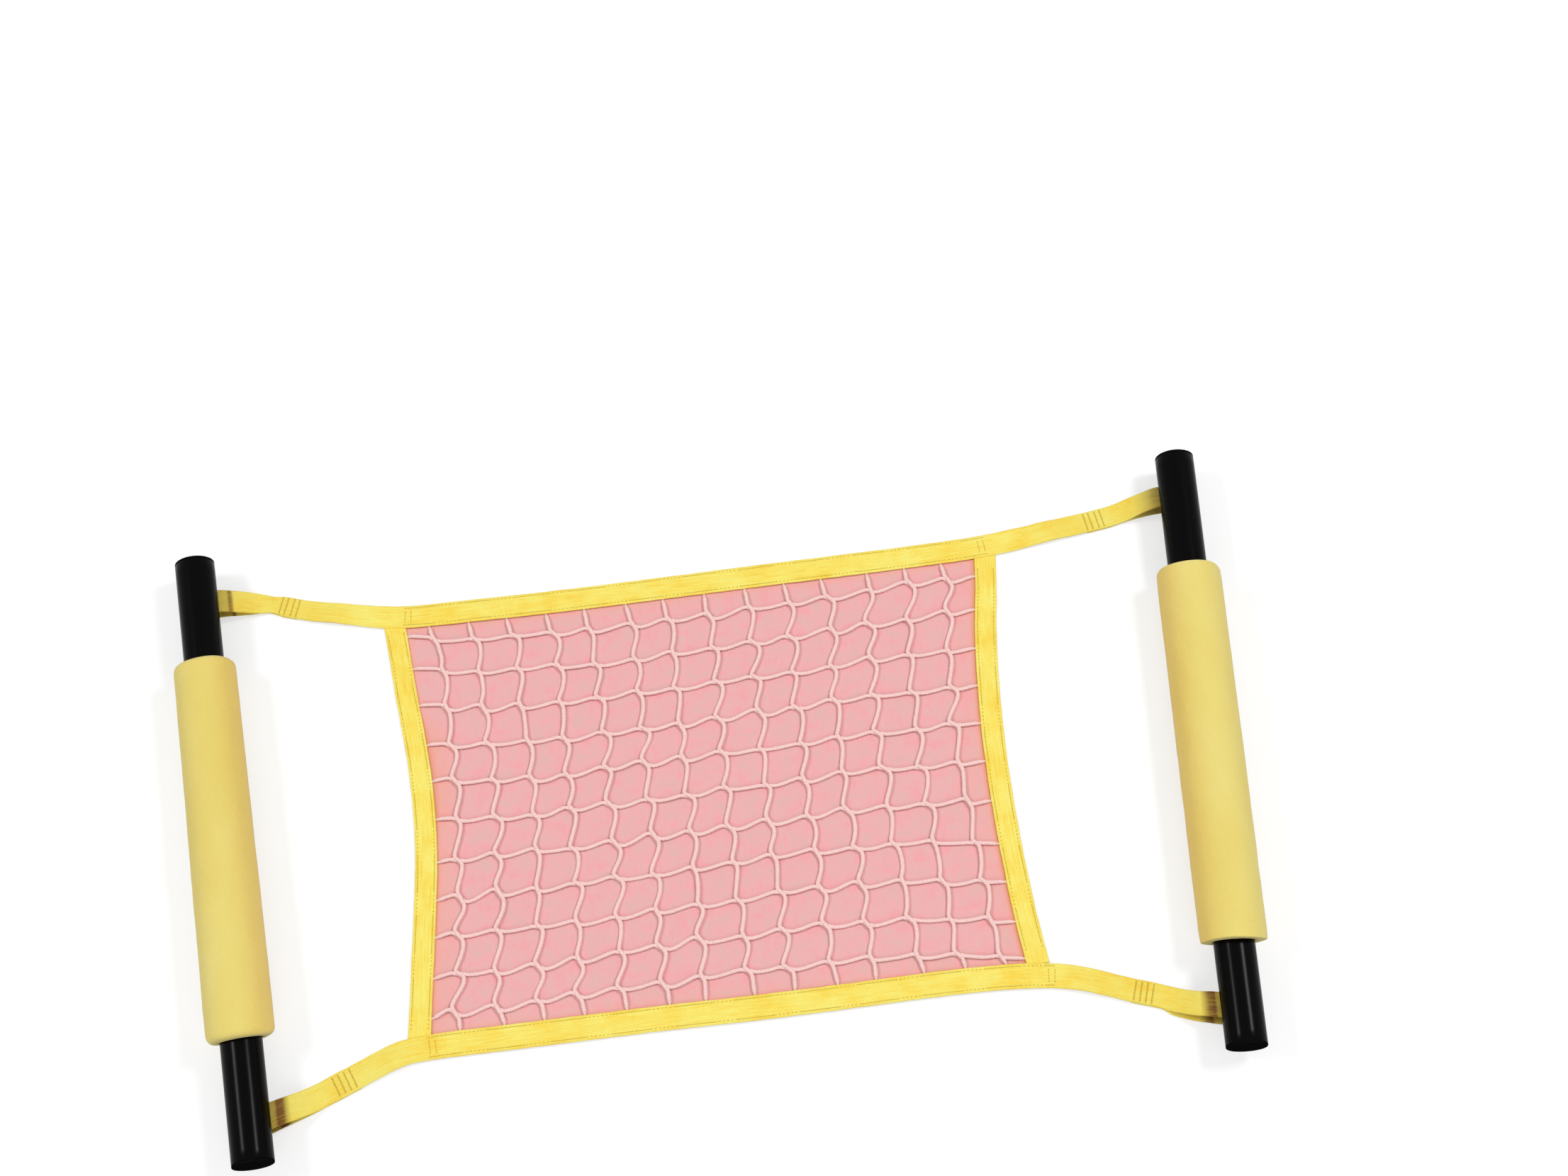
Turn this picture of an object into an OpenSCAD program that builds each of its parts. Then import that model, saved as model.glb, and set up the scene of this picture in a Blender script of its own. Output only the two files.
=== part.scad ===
// Hand-held catch net: a netting panel with a webbing border, hung between two short poles with foam grips.
// It lies on its grips with +Z up. X runs from pole to pole and Y runs along the poles.

/* [Pole] */
// Length of each pole over its two end plugs
pole_length = 500; // [440:10:600]
// Outer diameter of the tube
tube_diameter = 32; // [28:1:36]
// Wall thickness of the tube
tube_wall = 2.5; // [1.5:0.5:4]
// Distance from each upper corner of the panel to the middle of the pole on its side
strap_span = 135; // [127:1:172]
// Angle by which the lower end of each pole leans toward the net, in degrees
pole_lean = 4.3; // [0:0.1:5]

/* [End plugs] */
// Thickness of the plug's rim, which covers the end of the tube
plug_rim = 2; // [1:0.5:4]
// Depth to which the plug reaches into the tube
plug_depth = 14; // [8:1:18]
// Wall thickness of the plug's hollow stem
plug_wall = 2; // [1.5:0.5:3]
// Radial gap between the plug's stem and the tube
plug_clearance = 0.1; // [0.05:0.05:0.2]

/* [Grips] */
// Length of the foam grip
grip_length = 310; // [240:5:320]
// Wall thickness of the foam
grip_wall = 9.5; // [6:0.5:14]
// Radius of the rounded edge at each end of the foam
grip_rounding = 4; // [1:0.5:6]
// Radial gap between the foam and the tube
grip_clearance = 0.1; // [0.05:0.05:0.3]
// Distance of the left grip from the middle of its pole, toward the top end
left_grip_shift = 0; // [-12:1:12]
// Distance of the right grip from the middle of its pole, toward the top end
right_grip_shift = -11; // [-12:1:12]

/* [Webbing] */
// Width of the straps and of the top and bottom borders
webbing_width = 19; // [15:1:22]
// Width of the two side borders
side_webbing_width = 17; // [12:1:19]
// Thickness of one layer of webbing
webbing_thickness = 1.6; // [1:0.1:2]

/* [Panel] */
// Height of the panel over its borders
panel_height = 381; // [330:1:390]
// Width of the panel over its upper corners, which is also the distance between the two strap seams
panel_width = 516; // [460:2:530]
// Distance by which each lower corner is set in from the upper corner on its side
panel_taper = 9; // [0:1:20]
// Depth of the inward bow of each side
side_bow = 14; // [5:1:25]
// Distance of the panel's middle from the middle of the poles, toward their top ends
panel_shift = 11; // [0:1:20]
// Thickness of the backing fabric
backing_thickness = 0.6; // [0.4:0.1:1]
// Distance from the panel's edge to the edge of the backing fabric
backing_margin = 1; // [0.5:0.5:3]

/* [Netting] */
// Distance between neighbouring upright cords
mesh_width = 32; // [26:1:38]
// Distance between neighbouring cross cords
mesh_height = 30; // [26:1:36]
// Number of upright cords
upright_cords = 14; // [8:1:16]
// Number of cross cords
cross_cords = 11; // [6:1:12]
// Width of a flattened cord
cord_width = 3; // [2:0.5:4]
// Thickness of a flattened cord
cord_thickness = 2; // [1:0.5:3]
// Length of a knotless joint, where two cords run together
joint_length = 8.5; // [6:0.5:11]

/* [Straps] */
// Distance from the pole's end to the middle of its slots
slot_inset = 37; // [34:1:40]
// Opening of the slot across the webbing's thickness
slot_opening = 5; // [4:0.5:6]
// Gap between the webbing's edge and the rounded end of the slot
slot_clearance = 0.7; // [0.3:0.1:2]
// Angle of the upper slots below the level, on the net's side, in degrees
upper_slot_drop = 12; // [6:1:16]
// Angle of the lower slots below the level, on the net's side, in degrees
lower_slot_drop = 76; // [70:1:80]
// Distance from the tube's side to the fold line, where the bar tack ends
loop_reach = 46; // [40:1:52]
// Gap between the webbing and the strip of tube that it goes round
loop_clearance = 0.3; // [0.2:0.1:0.5]
// Width of the gap in the solids along a fold line
fold_gap = 0.6; // [0.4:0.1:1]

/* [Stitching] */
// Width of a thread
thread_width = 0.8; // [0.5:0.1:1]
// Height of a thread above the webbing
thread_height = 0.4; // [0.2:0.1:0.6]
// Distance from the webbing's edge to its stitch row
stitch_inset = 2.5; // [1.5:0.5:4]
// Number of stitch rows in a bar tack
tack_rows = 4; // [2:1:4]
// Distance between the stitch rows of a bar tack
tack_pitch = 4.5; // [3.5:0.5:5]

/* [Hidden] */

$fn = 96;
FINE = 720;        // facets of the wide arcs along the panel's sides
LEFT = -1;
RIGHT = 1;
TOP = 1;
BOTTOM = -1;
OVERSIZE = 40;     // how far cutting shapes run past what they cut

yellow = "#f6e05a";
foam_yellow = "#e6d272";
pink = "#eeaab0";
cord_white = "#fbd5d0";
thread_yellow = "#e5c63e";
tube_black = "#141414";

pole_spacing = panel_width + 2 * strap_span;
tube_radius = tube_diameter / 2;
bore_radius = tube_radius - tube_wall;
tube_length = pole_length - 2 * plug_rim;
grip_radius = tube_radius + grip_wall;
axis_height = grip_radius;          // the grips lie on the ground and hold the tubes up

panel_top = panel_shift + panel_height / 2;
panel_bottom = panel_shift - panel_height / 2;
inner_top = panel_top - webbing_width;
inner_bottom = panel_bottom + webbing_width;
half_width = panel_width / 2;
border_top = backing_thickness + webbing_thickness;

// Each side of the panel is an arc through its two corners, bowed inward.
side_chord = [panel_taper, inner_top - inner_bottom];
half_chord = norm(side_chord) / 2;
side_radius = (pow(half_chord, 2) + pow(side_bow, 2)) / (2 * side_bow);
side_turn = atan2(side_chord[0], side_chord[1]);
side_arc_centre = [half_width - panel_taper / 2, (inner_top + inner_bottom) / 2]
    + (side_radius - side_bow) * heading(-side_turn);

// The straps fold along the panel's corners and again along the bar tacks.
seam_x = half_width + fold_gap / 2;
fold_reach = tube_radius + loop_reach;
layer_gap = 0.1;                    // between the two layers of a loop, where they lie together
strap_top = 2 * webbing_thickness + layer_gap;

// A strap goes in through the upper slot and out through the lower one, and crosses the tube midway between them.
slot_distance = pole_length / 2 - slot_inset;
slot_crossing = tube_radius * (cos(upper_slot_drop) + cos(lower_slot_drop)) / 2;
slot_spread = tube_radius * (cos(upper_slot_drop) - cos(lower_slot_drop)) + slot_opening;
function slot_middle(end) = [pole_spacing / 2 + end * slot_distance * sin(pole_lean) - slot_crossing * cos(pole_lean),
    end * slot_distance * cos(pole_lean) + slot_crossing * sin(pole_lean)];
function seam_middle(end) = [seam_x, end == TOP ? panel_top - webbing_width / 2
    : panel_bottom + webbing_width / 2];
function strap_angle(end) = atan2(slot_middle(end)[1] - seam_middle(end)[1],
    slot_middle(end)[0] - seam_middle(end)[0]);
function skew(end) = strap_angle(end) + pole_lean;   // between the strap and a square crossing of the tube
function strap_length(end) = norm(slot_middle(end) - seam_middle(end));
widest_skew = max(abs(skew(TOP)), abs(skew(BOTTOM)));
slot_radius = slot_opening / 2;
slot_end_margin = slot_radius - sqrt(pow(slot_radius, 2) - pow(slot_radius - loop_clearance, 2));
slot_length = webbing_width / cos(widest_skew) + slot_spread * tan(widest_skew)
    + 2 * (slot_end_margin + slot_clearance);
function fold_at(end) = (fold_reach - slot_crossing) / cos(skew(end));

tack_width = webbing_width - 3;
tack_length = (tack_rows - 1) * tack_pitch + thread_width;
tack_end_gap = 1.5;                 // from the fold line to the first stitch row
tail_length = tack_length + 2 * tack_end_gap + fold_gap;

function heading(angle) = [cos(angle), sin(angle)];
function unit(v) = v / norm(v);
function across(v) = [-v[1], v[0]];

// Points of an arc about a centre.
function arc(centre, radius, from, to, steps) =
    [for (i = [0:steps]) centre + radius * heading(from + (to - from) * i / steps)];

// Points of a smooth curve that leaves its first point toward the second and reaches its last from the third.
function curve(a, b, c, d, steps) = [for (i = [0:steps]) let (t = i / steps, s = 1 - t)
    pow(s, 3) * a + 3 * s * s * t * b + 3 * s * t * t * c + pow(t, 3) * d];

// A path without points that repeat the one before.
function distinct(path) = [for (i = [0:len(path) - 1])
    if (i == 0 || norm(path[i] - path[max(i - 1, 0)]) > 0.001) path[i]];

// Direction of the step of a path that ends at a point; the first point takes the step that leaves it.
function step_to(path, i) = unit(path[max(i, 1)] - path[max(i, 1) - 1]);

// One side of a band that follows a path, mitred at each corner.
function edge_of(path, offset_by) = [for (i = [0:len(path) - 1])
    let (along = unit(step_to(path, i) + step_to(path, min(i + 1, len(path) - 1))))
    path[i] + across(along) * offset_by / (along * step_to(path, i))];

function reversed(list) = [for (i = [len(list) - 1:-1:0]) list[i]];

// A closed outline of constant thickness about a path.
function band(path, thickness) = concat(edge_of(path, thickness / 2), reversed(edge_of(path, -thickness / 2)));

// Shifts each edge of a clockwise convex outline inward.
function inset_corner(outline, i, by) = let (
        before = outline[(i + len(outline) - 1) % len(outline)], here = outline[i],
        after = outline[(i + 1) % len(outline)],
        along_in = unit(here - before), along_out = unit(after - here),
        half_turn = unit(along_in + along_out))
    here - across(half_turn) * by / (across(half_turn) * across(along_in));
function inset(outline, by) = [for (i = [0:len(outline) - 1]) inset_corner(outline, i, by)];

module on_side(side) { mirror([side == LEFT ? 1 : 0, 0, 0]) children(); }

// The frame of one pole: its axis runs along Z of the child, and X of the child points away from the net.
module at_pole(side) {
    on_side(side) translate([pole_spacing / 2, 0, axis_height]) rotate([0, 0, -pole_lean])
        rotate([-90, 0, 0]) children();
}

// The frame of one strap: it starts midway between the slots, and X of the child runs to the net.
module strap_course(side, end) {
    on_side(side) translate([slot_middle(end)[0], slot_middle(end)[1], 0]) rotate([0, 0, strap_angle(end) + 180])
        children();
}

// What lies on the tube's side of the fold line at the bar tack, set off from the line by a distance.
module beyond_fold(side, set_off) {
    on_side(side) translate([pole_spacing / 2, 0, 0]) rotate([0, 0, -pole_lean])
        translate([-fold_reach + set_off, -pole_length, -OVERSIZE])
        cube([2 * fold_reach, 2 * pole_length, 2 * OVERSIZE + 2 * grip_radius]);
}

// ---- The panel ----

module side_arcs(width) {
    for (side = [LEFT, RIGHT]) on_side(side) translate(side_arc_centre) circle(side_radius + width, $fn = FINE);
}

module panel_outline(margin, top, bottom) {
    difference() {
        translate([-half_width + margin, bottom]) square([panel_width - 2 * margin, top - bottom]);
        side_arcs(margin);
    }
}

// The bowed middle of the panel with a strip above and below it that is as wide as the seams are apart.
module backing_outline() {
    panel_outline(backing_margin, inner_top, inner_bottom);
    for (low = [panel_bottom + backing_margin, inner_top])
        translate([-half_width + backing_margin, low])
        square([panel_width - 2 * backing_margin, webbing_width - backing_margin]);
}

module backing() {
    color(pink) linear_extrude(backing_thickness) backing_outline();
}

module long_border(low) {
    color(yellow) translate([-half_width, low, backing_thickness])
        cube([panel_width, webbing_width, webbing_thickness]);
}

module side_border(side) {
    color(yellow) on_side(side) translate([0, 0, backing_thickness]) linear_extrude(webbing_thickness)
        intersection() {
            translate([half_width - side_bow - side_webbing_width - panel_taper - OVERSIZE, inner_bottom])
                square([2 * OVERSIZE + side_bow + side_webbing_width + panel_taper, inner_top - inner_bottom]);
            translate(side_arc_centre) difference() {
                circle(side_radius + side_webbing_width, $fn = FINE);
                circle(side_radius, $fn = FINE);
            }
        }
}

module stitch_row(from, length) {
    translate([from[0], from[1], border_top]) cube([length, thread_width, thread_height]);
}

module border_stitching() {
    color(thread_yellow) {
        for (low = [panel_bottom, inner_top], inset_by = [stitch_inset, webbing_width - stitch_inset - thread_width])
            stitch_row([-half_width + stitch_inset, low + inset_by], panel_width - 2 * stitch_inset);
        for (side = [LEFT, RIGHT], reach = [stitch_inset, side_webbing_width - stitch_inset])
            on_side(side) translate([0, 0, border_top]) linear_extrude(thread_height) intersection() {
                translate([0, inner_bottom]) square([half_width, inner_top - inner_bottom]);
                translate(side_arc_centre) difference() {
                    circle(side_radius + reach + thread_width / 2, $fn = FINE);
                    circle(side_radius + reach - thread_width / 2, $fn = FINE);
                }
            }
    }
}

// Two rows of stitches across each corner of the border, where the strap is sewn on.
module strap_seams() {
    color(thread_yellow) for (side = [LEFT, RIGHT], low = [panel_bottom, inner_top], row = [1, 2])
        on_side(side) translate([half_width - row * stitch_inset * 1.5, low + stitch_inset * 2, border_top])
        cube([thread_width, webbing_width - 4 * stitch_inset, thread_height]);
}

// ---- The netting ----

// A knotless joint is a short slanted stretch: cords leave its upper left end and its lower right end.
joint_reach = joint_length / 2 * cos(45);
function joint_end(column, row, sign) =
    [column * mesh_width + sign * joint_reach, row * mesh_height - sign * joint_reach];

// The clear opening between four joints, whose upper left joint is named.
function opening(column, row) = inset([
    joint_end(column, row, 1), joint_end(column + 1, row, -1), joint_end(column + 1, row, 1),
    joint_end(column + 1, row - 1, -1), joint_end(column, row - 1, 1), joint_end(column, row - 1, -1)],
    cord_width / 2);

module netting() {
    first = -(upright_cords - 1) / 2;
    lowest = -(cross_cords - 1) / 2;
    color(cord_white) translate([0, 0, backing_thickness]) linear_extrude(cord_thickness) intersection() {
        panel_outline(side_webbing_width, inner_top, inner_bottom);
        translate([0, (inner_top + inner_bottom) / 2]) difference() {
            square([panel_width, panel_height], center = true);
            for (column = [first - 1:first + upright_cords - 1], row = [lowest:lowest + cross_cords])
                polygon(opening(column, row));
        }
    }
}

// ---- The poles ----

// A slot with round ends along Z of the child, cut through along Y.
module rounded_slot(length, opening_size, depth) {
    rotate([90, 0, 0]) linear_extrude(depth, center = true) {
        square([opening_size, length - opening_size], center = true);
        for (tip = [-1, 1]) translate([0, tip * (length - opening_size) / 2]) circle(d = opening_size);
    }
}

module tube(side) {
    color(tube_black) at_pole(side) difference() {
        cylinder(h = tube_length, r = tube_radius, center = true);
        cylinder(h = tube_length + 1, r = bore_radius, center = true);
        for (end = [TOP, BOTTOM], drop = [upper_slot_drop, lower_slot_drop])
            translate([0, 0, end * slot_distance]) rotate([0, 0, 90 - drop]) translate([0, tube_radius, 0])
            rounded_slot(slot_length, slot_opening, tube_radius);
    }
}

module plug(side, end) {
    stem_radius = bore_radius - plug_clearance;
    edge = plug_rim / 4;
    color(tube_black) at_pole(side) translate([0, 0, end * pole_length / 2]) mirror([0, 0, end == TOP ? 1 : 0])
        rotate_extrude() polygon([[0, 0], [tube_radius - edge, 0], [tube_radius, edge], [tube_radius, plug_rim],
            [stem_radius, plug_rim], [stem_radius, plug_depth], [stem_radius - plug_wall, plug_depth],
            [stem_radius - plug_wall, plug_rim], [0, plug_rim]]);
}

module grip(side, shift) {
    inner = tube_radius + grip_clearance;
    corner = grip_radius - grip_rounding;
    tip = grip_length / 2 - grip_rounding;
    color(foam_yellow) at_pole(side) translate([0, 0, shift]) rotate_extrude() polygon(concat(
        [[inner, -grip_length / 2]], arc([corner, -tip], grip_rounding, -90, 0, 5),
        arc([corner, tip], grip_rounding, 0, 90, 5), [[inner, grip_length / 2]]));
}

// ---- The straps ----

// The middle line of a loop, seen along the tube, with X toward the net. It rises from the bar tack into the upper
// slot, runs down inside the strip of wall between the slots, and comes back along the ground from the lower slot.
slot_half_angle = asin(slot_opening / (2 * bore_radius));
bend_radius = loop_clearance + webbing_thickness / 2;
off_middle = slot_opening / 2 - bend_radius;    // from the slot's middle, toward the strip
function mouth(angle, toward_strip) = (tube_radius + bend_radius) * heading(angle)
    + toward_strip * off_middle * heading(angle + 90);
upper_mouth = mouth(-upper_slot_drop, -1);
lower_mouth = mouth(-lower_slot_drop, 1);
strip_from = -upper_slot_drop - slot_half_angle;
strip_to = -lower_slot_drop + slot_half_angle;
upper_level = 1.5 * webbing_thickness + layer_gap - axis_height;
lower_level = webbing_thickness / 2 - axis_height;
upper_foot = [fold_reach - 0.2 * loop_reach, upper_level];
lower_foot = [fold_reach - 0.3 * loop_reach, lower_level];
loop_start = fold_reach - fold_gap / 2;

loop_path = concat([[loop_start, upper_level]],
    curve(upper_foot, upper_foot - [0.26 * loop_reach, 0],
        upper_mouth + 0.15 * loop_reach * heading(-upper_slot_drop), upper_mouth, 9),
    arc(bore_radius * heading(strip_from), bend_radius, 90 - upper_slot_drop, 180 + strip_from, 4),
    arc([0, 0], bore_radius - bend_radius, strip_from, strip_to, 4),
    arc(bore_radius * heading(strip_to), bend_radius, 180 + strip_to, 270 - lower_slot_drop, 4),
    curve(lower_mouth, lower_mouth + 0.85 * (lower_mouth[1] - lower_level) * heading(-lower_slot_drop),
        lower_foot - [0.35 * loop_reach, 0], lower_foot, 9),
    [[loop_start, lower_level]]);

// A loop keeps its profile along the tube and is cut to the strap's own course, which crosses the tube askew.
module loop(side, end) {
    color(yellow) intersection() {
        on_side(side) translate([pole_spacing / 2, 0, axis_height]) rotate([0, 0, -pole_lean])
            translate([0, end * slot_distance, 0]) rotate([90, 0, 0])
            linear_extrude(3 * webbing_width, center = true) mirror([1, 0])
            polygon(band(distinct(loop_path), webbing_thickness));
        strap_course(side, end) translate([-2 * tube_diameter, -webbing_width / 2, -1])
            cube([2 * tube_diameter + strap_length(end), webbing_width, 3 * tube_diameter]);
    }
}

// The strap lies on the ground. It is doubled at the bar tack, where the loop's tail is sewn under it.
module strap(side, end) {
    tail_end = fold_at(end) + tail_length;
    root_at = strap_length(end);
    color(yellow) difference() {
        intersection() {
            strap_course(side, end) translate([0, webbing_width / 2, 0]) rotate([90, 0, 0])
                linear_extrude(webbing_width) polygon([[tail_end - OVERSIZE, 0], [tail_end, 0],
                [tail_end, webbing_thickness + layer_gap],
                [root_at + OVERSIZE, backing_thickness], [root_at + OVERSIZE, border_top],
                [tail_end, strap_top], [tail_end - OVERSIZE, strap_top]]);
            on_side(side) translate([half_width + fold_gap, -panel_height, -OVERSIZE])
                cube([pole_spacing, 2 * panel_height, 2 * OVERSIZE]);
        }
        beyond_fold(side, -fold_gap / 2);
    }
}

module bar_tack(side, end) {
    color(thread_yellow) strap_course(side, end) for (row = [0:tack_rows - 1])
        translate([fold_at(end) + webbing_width / 2 * tan(abs(skew(end))) + tack_end_gap + row * tack_pitch,
            -tack_width / 2, strap_top])
            cube([thread_width, tack_width, thread_height]);
}

backing();
netting();
long_border(inner_top);  // top_border
long_border(panel_bottom);  // bottom_border
side_border(LEFT);  // left_border
side_border(RIGHT);  // right_border
border_stitching();
strap_seams();
tube(LEFT);  // left_tube
grip(LEFT, left_grip_shift);  // left_grip
plug(LEFT, TOP);  // left_top_plug
plug(LEFT, BOTTOM);  // left_bottom_plug
loop(LEFT, TOP);  // left_top_loop
loop(LEFT, BOTTOM);  // left_bottom_loop
tube(RIGHT);  // right_tube
grip(RIGHT, right_grip_shift);  // right_grip
plug(RIGHT, TOP);  // right_top_plug
plug(RIGHT, BOTTOM);  // right_bottom_plug
loop(RIGHT, TOP);  // right_top_loop
loop(RIGHT, BOTTOM);  // right_bottom_loop
strap(LEFT, TOP);  // left_top_strap
strap(LEFT, BOTTOM);  // left_bottom_strap
bar_tack(LEFT, TOP);  // left_top_bar_tack
bar_tack(LEFT, BOTTOM);  // left_bottom_bar_tack
strap(RIGHT, TOP);  // right_top_strap
strap(RIGHT, BOTTOM);  // right_bottom_strap
bar_tack(RIGHT, TOP);  // right_top_bar_tack
bar_tack(RIGHT, BOTTOM);  // right_bottom_bar_tack
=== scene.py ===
import math

import bpy
import numpy as np
from mathutils import Matrix, Vector, noise


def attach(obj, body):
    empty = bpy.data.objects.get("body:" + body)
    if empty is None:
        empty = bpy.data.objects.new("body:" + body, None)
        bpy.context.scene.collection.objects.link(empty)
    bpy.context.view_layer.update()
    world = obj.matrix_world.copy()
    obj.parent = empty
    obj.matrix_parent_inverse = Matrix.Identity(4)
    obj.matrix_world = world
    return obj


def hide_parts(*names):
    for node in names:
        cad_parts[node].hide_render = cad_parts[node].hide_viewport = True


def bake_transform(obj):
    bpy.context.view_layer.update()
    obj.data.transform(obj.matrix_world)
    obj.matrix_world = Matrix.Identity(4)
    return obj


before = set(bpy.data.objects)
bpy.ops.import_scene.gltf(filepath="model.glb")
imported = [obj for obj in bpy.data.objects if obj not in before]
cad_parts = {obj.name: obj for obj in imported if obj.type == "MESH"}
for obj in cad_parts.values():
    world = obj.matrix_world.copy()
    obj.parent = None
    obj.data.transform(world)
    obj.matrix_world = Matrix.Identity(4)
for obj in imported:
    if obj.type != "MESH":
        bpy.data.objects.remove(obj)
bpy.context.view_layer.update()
MM = 0.001

# ---- Camera ----


def make_camera():
    """The photo's camera, fitted to the four poles that it shows."""
    data = bpy.data.cameras.new("camera")
    data.lens, data.sensor_width, data.sensor_fit = 52.116, 36.0, "HORIZONTAL"
    data.clip_start, data.clip_end = 0.05, 50
    camera = bpy.data.objects.new("camera", data)
    bpy.context.scene.collection.objects.link(camera)
    place = (-0.00356, -0.58132, 1.73639)
    right = Vector((0.993207, -0.116116, -0.007585))
    up = Vector((0.109298, 0.908544, 0.403239))
    turn = Matrix((right, up, right.cross(up))).transposed().to_4x4()
    camera.matrix_world = Matrix.Translation(place) @ turn
    bpy.context.scene.camera = camera


make_camera()

# ---- Small geometry tools; all lengths are in millimetres until a mesh is made ----


def unit(v):
    return v / np.maximum(np.linalg.norm(v, axis=-1, keepdims=True), 1e-12)


def heading(degrees):
    return np.array([math.cos(math.radians(degrees)), math.sin(math.radians(degrees))])


def lifted(flat, height=0.0):
    """Plan points or directions in three dimensions, at one height or one for each."""
    return np.column_stack([flat, np.broadcast_to(height, len(flat))])


def smoothstep(x, a, b):
    t = np.clip((x - a) / (b - a), 0, 1)
    return t * t * (3 - 2 * t)


def wobble(points, size, seed):
    """Smooth noise from -1 to 1 at each point, with features of that size."""
    shift = Vector((seed, seed * 0.7, seed * 1.3))
    return np.array([noise.noise(Vector(p) / size + shift) for p in points])


def chance(*key):
    """A repeatable number from -1 to 1 for a key of whole numbers."""
    value = math.sin(sum(k * f for k, f in zip(key, (12.9898, 78.233, 37.719, 93.989)))) * 43758.5453
    return 2 * (value - math.floor(value)) - 1


def bezier(a, b, c, d, ts):
    """Points of the cubic curve from a to d with handles b and c."""
    t = ts[:, None]
    return (1 - t) ** 3 * a + 3 * (1 - t) ** 2 * t * b + 3 * (1 - t) * t * t * c + t ** 3 * d


def spline(points, step):
    """An even sampling of the centripetal Catmull-Rom curve through the points."""
    p = np.asarray(points, float)
    p = np.vstack([2 * p[0] - p[1], p, 2 * p[-1] - p[-2]])
    knots = np.concatenate([[0], np.cumsum(np.linalg.norm(np.diff(p, axis=0), axis=1) ** 0.5)])
    out = []
    for i in range(1, len(p) - 2):
        t0, t1, t2, t3 = knots[i - 1:i + 3]
        t = np.linspace(t1, t2, 40, endpoint=False)[:, None]
        a1 = (t1 - t) / (t1 - t0) * p[i - 1] + (t - t0) / (t1 - t0) * p[i]
        a2 = (t2 - t) / (t2 - t1) * p[i] + (t - t1) / (t2 - t1) * p[i + 1]
        a3 = (t3 - t) / (t3 - t2) * p[i + 1] + (t - t2) / (t3 - t2) * p[i + 2]
        b1 = (t2 - t) / (t2 - t0) * a1 + (t - t0) / (t2 - t0) * a2
        b2 = (t3 - t) / (t3 - t1) * a2 + (t - t1) / (t3 - t1) * a3
        out.append((t2 - t) / (t2 - t1) * b1 + (t - t1) / (t2 - t1) * b2)
    return evenly(np.vstack(out + [p[-2:-1]]), step)


def arc_length(path):
    return np.concatenate([[0], np.cumsum(np.linalg.norm(np.diff(path, axis=0), axis=1))])


def evenly(path, step):
    """The path resampled at about that step."""
    s = arc_length(path)
    at = np.linspace(0, s[-1], max(2, int(round(s[-1] / step)) + 1))
    return interpolated(at, s, path)


def interpolated(at, s, values):
    """Rows of values, which are known at the distances s, at other distances."""
    return np.stack([np.interp(at, s, column) for column in values.T], 1)


def softened(path, passes):
    path = path.copy()
    for _ in range(passes):
        path[1:-1] = 0.25 * path[:-2] + 0.5 * path[1:-1] + 0.25 * path[2:]
    return path


def make_mesh(name, verts, faces, uvs=None, smooth=True, tint_and_painted_shade=None):
    """A mesh object from points in millimetres; their uv pairs are in millimetres too."""
    mesh = bpy.data.meshes.new(name)
    mesh.from_pydata((verts * MM).tolist(), [], [list(map(int, f)) for f in faces])
    if uvs is not None:
        layer = mesh.uv_layers.new(name="UVMap")
        index = np.zeros(len(mesh.loops), int)
        mesh.loops.foreach_get("vertex_index", index)
        layer.data.foreach_set("uv", (uvs[index] * MM).astype(np.float32).ravel())
    # Each point's value for the materials: the straps' wear and the cloth's tint, with painted shade beside
    # the tubes and painted shadow beside the borders.
    if tint_and_painted_shade is not None:
        mesh.attributes.new("tint_and_painted_shade", "FLOAT", "POINT").data.foreach_set("value", np.asarray(tint_and_painted_shade, np.float32))
    mesh.validate()
    mesh.polygons.foreach_set("use_smooth", [smooth] * len(mesh.polygons))
    piece = bpy.data.objects.new(name, mesh)
    bpy.context.scene.collection.objects.link(piece)
    return piece


class Parts:
    """Collects several small shells into one mesh."""

    def __init__(self):
        self.verts, self.faces, self.uvs, self.count = [], [], [], 0

    def add(self, verts, faces, uvs):
        self.verts.append(verts)
        self.uvs.append(uvs)
        self.faces += [[i + self.count for i in f] for f in faces]
        self.count += len(verts)

    def make(self, name):
        return make_mesh(name, np.vstack(self.verts), self.faces, np.vstack(self.uvs))


def skin(rings, sides, closed_ends):
    """Faces between rings of points, each ring a closed loop of that many points."""
    faces = []
    for i in range(rings - 1):
        for j in range(sides):
            k = (j + 1) % sides
            faces.append([i * sides + j, i * sides + k, (i + 1) * sides + k, (i + 1) * sides + j])
    if closed_ends:
        faces.append(list(range(sides))[::-1])
        faces.append([(rings - 1) * sides + j for j in range(sides)])
    return faces


# ---- Shader tools ----


def rgba(colour):
    return colour if isinstance(colour, bpy.types.NodeSocket) else (*colour, 1)


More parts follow.
